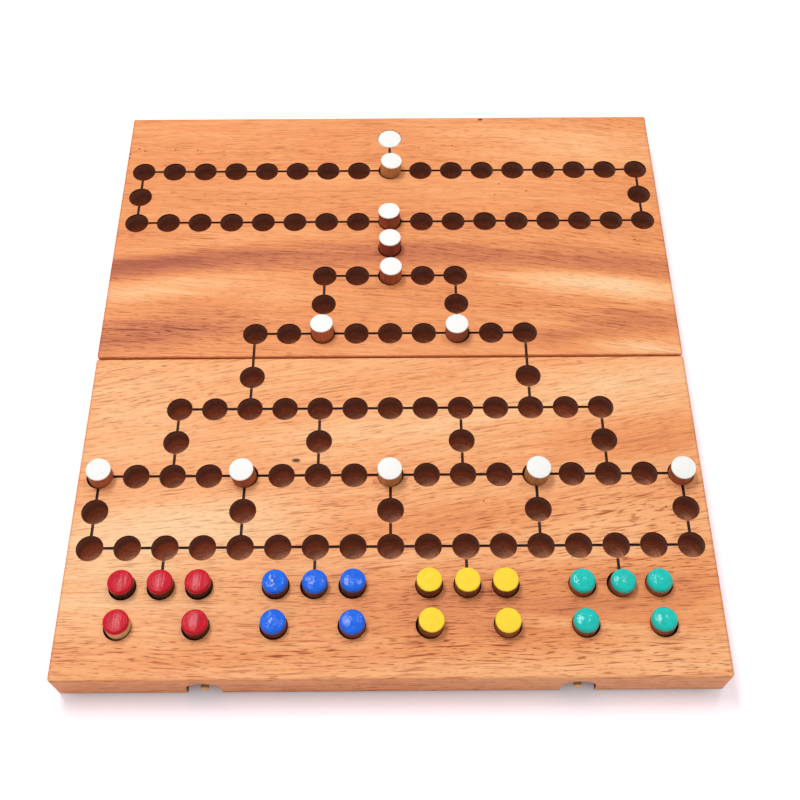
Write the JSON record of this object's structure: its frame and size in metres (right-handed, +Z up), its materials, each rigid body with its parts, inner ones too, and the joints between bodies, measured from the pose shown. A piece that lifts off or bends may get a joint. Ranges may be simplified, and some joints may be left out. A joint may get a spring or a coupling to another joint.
{
  "type": "barricade game board",
  "caption": "Folding wooden barricade board with drilled, groove-linked peg holes, an inlaid goal disc, white barricade pegs and coloured player pegs on brass hinges.",
  "frame": {"origin": "under the middle of the seam between the two halves, on the plane that the lowest points, the hinge knuckles, stand on", "axes": "+X along the seam to the right as the players' homes face the viewer, +Y from the home side to the goal side, +Z up"},
  "size_m": [0.258, 0.2864, 0.0255],
  "materials": {
    "board_wood": "oiled tropical hardwood with long pores",
    "goal_white": "white paint on a wooden plug",
    "hinge_brass": "plain rolled brass",
    "closing_pin_brass": "drawn brass rod",
    "barricade_white": "white paint on the end of a brown dowel",
    "player_red": "satin red paint on a dowel tip",
    "player_blue": "gloss blue paint on a dowel tip",
    "player_yellow": "matt yellow paint on a dowel tip",
    "player_green": "gloss sea-green paint on a dowel tip"
  },
  "bodies": {
    "front_half": {"front_board": "board_wood", "left_hinge_front_leaf": "hinge_brass", "left_hinge_pin": "hinge_brass", "right_hinge_front_leaf": "hinge_brass", "right_hinge_pin": "hinge_brass", "front_hinge_screws": "hinge_brass", "front_left_closing_pin": "closing_pin_brass", "front_right_closing_pin": "closing_pin_brass"},
    "rear_half": {"rear_board": "board_wood", "goal_disc": "goal_white", "left_hinge_rear_leaf": "hinge_brass", "right_hinge_rear_leaf": "hinge_brass", "rear_hinge_screws": "hinge_brass", "rear_left_closing_pin": "closing_pin_brass", "rear_right_closing_pin": "closing_pin_brass"},
    "barricade_1": {"barricade_peg_1": "barricade_white"},
    "barricade_2": {"barricade_peg_2": "barricade_white"},
    "barricade_3": {"barricade_peg_3": "barricade_white"},
    "barricade_4": {"barricade_peg_4": "barricade_white"},
    "barricade_5": {"barricade_peg_5": "barricade_white"},
    "barricade_6": {"barricade_peg_6": "barricade_white"},
    "barricade_7": {"barricade_peg_7": "barricade_white"},
    "barricade_8": {"barricade_peg_8": "barricade_white"},
    "barricade_9": {"barricade_peg_9": "barricade_white"},
    "barricade_10": {"barricade_peg_10": "barricade_white"},
    "barricade_11": {"barricade_peg_11": "barricade_white"},
    "red_1": {"red_peg_1": "player_red"},
    "red_2": {"red_peg_2": "player_red"},
    "red_3": {"red_peg_3": "player_red"},
    "red_4": {"red_peg_4": "player_red"},
    "red_5": {"red_peg_5": "player_red"},
    "blue_1": {"blue_peg_1": "player_blue"},
    "blue_2": {"blue_peg_2": "player_blue"},
    "blue_3": {"blue_peg_3": "player_blue"},
    "blue_4": {"blue_peg_4": "player_blue"},
    "blue_5": {"blue_peg_5": "player_blue"},
    "yellow_1": {"yellow_peg_1": "player_yellow"},
    "yellow_2": {"yellow_peg_2": "player_yellow"},
    "yellow_3": {"yellow_peg_3": "player_yellow"},
    "yellow_4": {"yellow_peg_4": "player_yellow"},
    "yellow_5": {"yellow_peg_5": "player_yellow"},
    "green_1": {"green_peg_1": "player_green"},
    "green_2": {"green_peg_2": "player_green"},
    "green_3": {"green_peg_3": "player_green"},
    "green_4": {"green_peg_4": "player_green"},
    "green_5": {"green_peg_5": "player_green"}
  },
  "joints": [
    {"name": "board_fold", "type": "hinge", "parent": "front_half", "child": "rear_half", "pos_m": [0, 0, 0.0013], "axis": [-1, 0, 0], "range_deg": [0, 180]},
    {"name": "barricade_peg_1_lift", "type": "slide", "parent": "front_half", "child": "barricade_1", "axis": [0, 0, 1], "range_m": [0, 0.02]},
    {"name": "barricade_peg_2_lift", "type": "slide", "parent": "front_half", "child": "barricade_2", "axis": [0, 0, 1], "range_m": [0, 0.02]},
    {"name": "barricade_peg_3_lift", "type": "slide", "parent": "front_half", "child": "barricade_3", "axis": [0, 0, 1], "range_m": [0, 0.02]},
    {"name": "barricade_peg_4_lift", "type": "slide", "parent": "front_half", "child": "barricade_4", "axis": [0, 0, 1], "range_m": [0, 0.02]},
    {"name": "barricade_peg_5_lift", "type": "slide", "parent": "front_half", "child": "barricade_5", "axis": [0, 0, 1], "range_m": [0, 0.02]},
    {"name": "barricade_peg_6_lift", "type": "slide", "parent": "rear_half", "child": "barricade_6", "axis": [0, 0, 1], "range_m": [0, 0.02]},
    {"name": "barricade_peg_7_lift", "type": "slide", "parent": "rear_half", "child": "barricade_7", "axis": [0, 0, 1], "range_m": [0, 0.02]},
    {"name": "barricade_peg_8_lift", "type": "slide", "parent": "rear_half", "child": "barricade_8", "axis": [0, 0, 1], "range_m": [0, 0.02]},
    {"name": "barricade_peg_9_lift", "type": "slide", "parent": "rear_half", "child": "barricade_9", "axis": [0, 0, 1], "range_m": [0, 0.02]},
    {"name": "barricade_peg_10_lift", "type": "slide", "parent": "rear_half", "child": "barricade_10", "axis": [0, 0, 1], "range_m": [0, 0.02]},
    {"name": "barricade_peg_11_lift", "type": "slide", "parent": "rear_half", "child": "barricade_11", "axis": [0, 0, 1], "range_m": [0, 0.02]},
    {"name": "red_peg_1_lift", "type": "slide", "parent": "front_half", "child": "red_1", "axis": [0, 0, 1], "range_m": [0, 0.02]},
    {"name": "red_peg_2_lift", "type": "slide", "parent": "front_half", "child": "red_2", "axis": [0, 0, 1], "range_m": [0, 0.02]},
    {"name": "red_peg_3_lift", "type": "slide", "parent": "front_half", "child": "red_3", "axis": [0, 0, 1], "range_m": [0, 0.02]},
    {"name": "red_peg_4_lift", "type": "slide", "parent": "front_half", "child": "red_4", "axis": [0, 0, 1], "range_m": [0, 0.02]},
    {"name": "red_peg_5_lift", "type": "slide", "parent": "front_half", "child": "red_5", "axis": [0, 0, 1], "range_m": [0, 0.02]},
    {"name": "blue_peg_1_lift", "type": "slide", "parent": "front_half", "child": "blue_1", "axis": [0, 0, 1], "range_m": [0, 0.02]},
    {"name": "blue_peg_2_lift", "type": "slide", "parent": "front_half", "child": "blue_2", "axis": [0, 0, 1], "range_m": [0, 0.02]},
    {"name": "blue_peg_3_lift", "type": "slide", "parent": "front_half", "child": "blue_3", "axis": [0, 0, 1], "range_m": [0, 0.02]},
    {"name": "blue_peg_4_lift", "type": "slide", "parent": "front_half", "child": "blue_4", "axis": [0, 0, 1], "range_m": [0, 0.02]},
    {"name": "blue_peg_5_lift", "type": "slide", "parent": "front_half", "child": "blue_5", "axis": [0, 0, 1], "range_m": [0, 0.02]},
    {"name": "yellow_peg_1_lift", "type": "slide", "parent": "front_half", "child": "yellow_1", "axis": [0, 0, 1], "range_m": [0, 0.02]},
    {"name": "yellow_peg_2_lift", "type": "slide", "parent": "front_half", "child": "yellow_2", "axis": [0, 0, 1], "range_m": [0, 0.02]},
    {"name": "yellow_peg_3_lift", "type": "slide", "parent": "front_half", "child": "yellow_3", "axis": [0, 0, 1], "range_m": [0, 0.02]},
    {"name": "yellow_peg_4_lift", "type": "slide", "parent": "front_half", "child": "yellow_4", "axis": [0, 0, 1], "range_m": [0, 0.02]},
    {"name": "yellow_peg_5_lift", "type": "slide", "parent": "front_half", "child": "yellow_5", "axis": [0, 0, 1], "range_m": [0, 0.02]},
    {"name": "green_peg_1_lift", "type": "slide", "parent": "front_half", "child": "green_1", "axis": [0, 0, 1], "range_m": [0, 0.02]},
    {"name": "green_peg_2_lift", "type": "slide", "parent": "front_half", "child": "green_2", "axis": [0, 0, 1], "range_m": [0, 0.02]},
    {"name": "green_peg_3_lift", "type": "slide", "parent": "front_half", "child": "green_3", "axis": [0, 0, 1], "range_m": [0, 0.02]},
    {"name": "green_peg_4_lift", "type": "slide", "parent": "front_half", "child": "green_4", "axis": [0, 0, 1], "range_m": [0, 0.02]},
    {"name": "green_peg_5_lift", "type": "slide", "parent": "front_half", "child": "green_5", "axis": [0, 0, 1], "range_m": [0, 0.02]}
  ]
}
